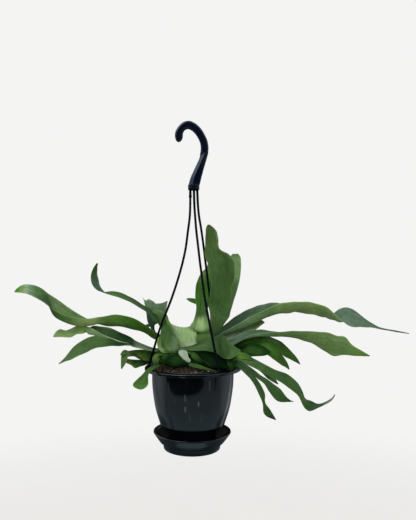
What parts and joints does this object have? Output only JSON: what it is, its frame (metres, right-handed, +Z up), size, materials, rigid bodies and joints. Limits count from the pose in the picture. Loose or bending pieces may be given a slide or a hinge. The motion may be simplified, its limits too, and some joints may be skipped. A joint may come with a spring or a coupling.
{
  "type": "staghorn fern in a hanging pot",
  "caption": "Staghorn fern with forked and strap-like fronds in a glossy black hanging pot with a clip-on saucer, three moulded strands and a hook.",
  "frame": {"origin": "the point on the inside of the hook's top where it bears on whatever the pot hangs from", "axes": "+Z up, against the load; +X to the right and +Y to the back, seen from the front"},
  "size_m": [0.5687, 0.3122, 0.5096],
  "materials": {
    "pot_plastic": "glossy black moulded plastic",
    "saucer_plastic": "glossy black moulded plastic",
    "hook_plastic": "semi-gloss blue-black moulded plastic",
    "strand_plastic": "semi-gloss blue-black plastic cord",
    "bark_mix": "loose bark chips, fibre and perlite, matt",
    "rhizome": "woody, fibrous, matt",
    "green_frond": "thick leathery leaf, soft sheen, grey bloom on the upper face",
    "grey_frond": "thick leathery leaf with a grey bloom",
    "dark_frond": "thick leathery leaf, deep green",
    "young_frond": "young yellow-green leaf",
    "pale_frond": "young leaf under white felt",
    "shield_frond": "light green shield frond, matt"
  },
  "bodies": {
    "root": {"frond_back_far_left": "green_frond", "frond_back_far_right": "green_frond", "frond_back_left": "green_frond", "frond_back_middle": "green_frond", "frond_back_right": "green_frond", "frond_back_upright": "green_frond", "frond_front_dark": "dark_frond", "frond_front_deep": "dark_frond", "frond_front_left": "green_frond", "frond_front_low": "young_frond", "frond_front_round": "young_frond", "frond_front_yellow": "young_frond", "frond_left_forked": "green_frond", "frond_left_long": "green_frond", "frond_left_upper": "green_frond", "frond_left_upright": "grey_frond", "frond_mid": "green_frond", "frond_pale": "pale_frond", "frond_rear_tip": "green_frond", "frond_right_dark": "dark_frond", "frond_right_forked": "green_frond", "frond_right_long": "green_frond", "frond_right_lower": "green_frond", "frond_right_middle": "green_frond", "frond_right_rim": "dark_frond", "frond_right_rounded": "dark_frond", "frond_right_short": "grey_frond", "frond_right_under": "dark_frond", "frond_rim_droop": "green_frond", "frond_rim_forked": "green_frond", "frond_rim_lower": "green_frond", "frond_tall": "green_frond", "hanger_strand_back_right": "strand_plastic", "hanger_strand_front_right": "strand_plastic", "hanger_strand_left": "strand_plastic", "hook": "hook_plastic", "pot": "pot_plastic", "potting_mix": "bark_mix", "rhizome": "rhizome", "saucer": "saucer_plastic", "shield_back_left": "shield_frond", "shield_back_right": "shield_frond", "shield_front": "green_frond", "shield_left": "shield_frond"}
  },
  "joints": []
}
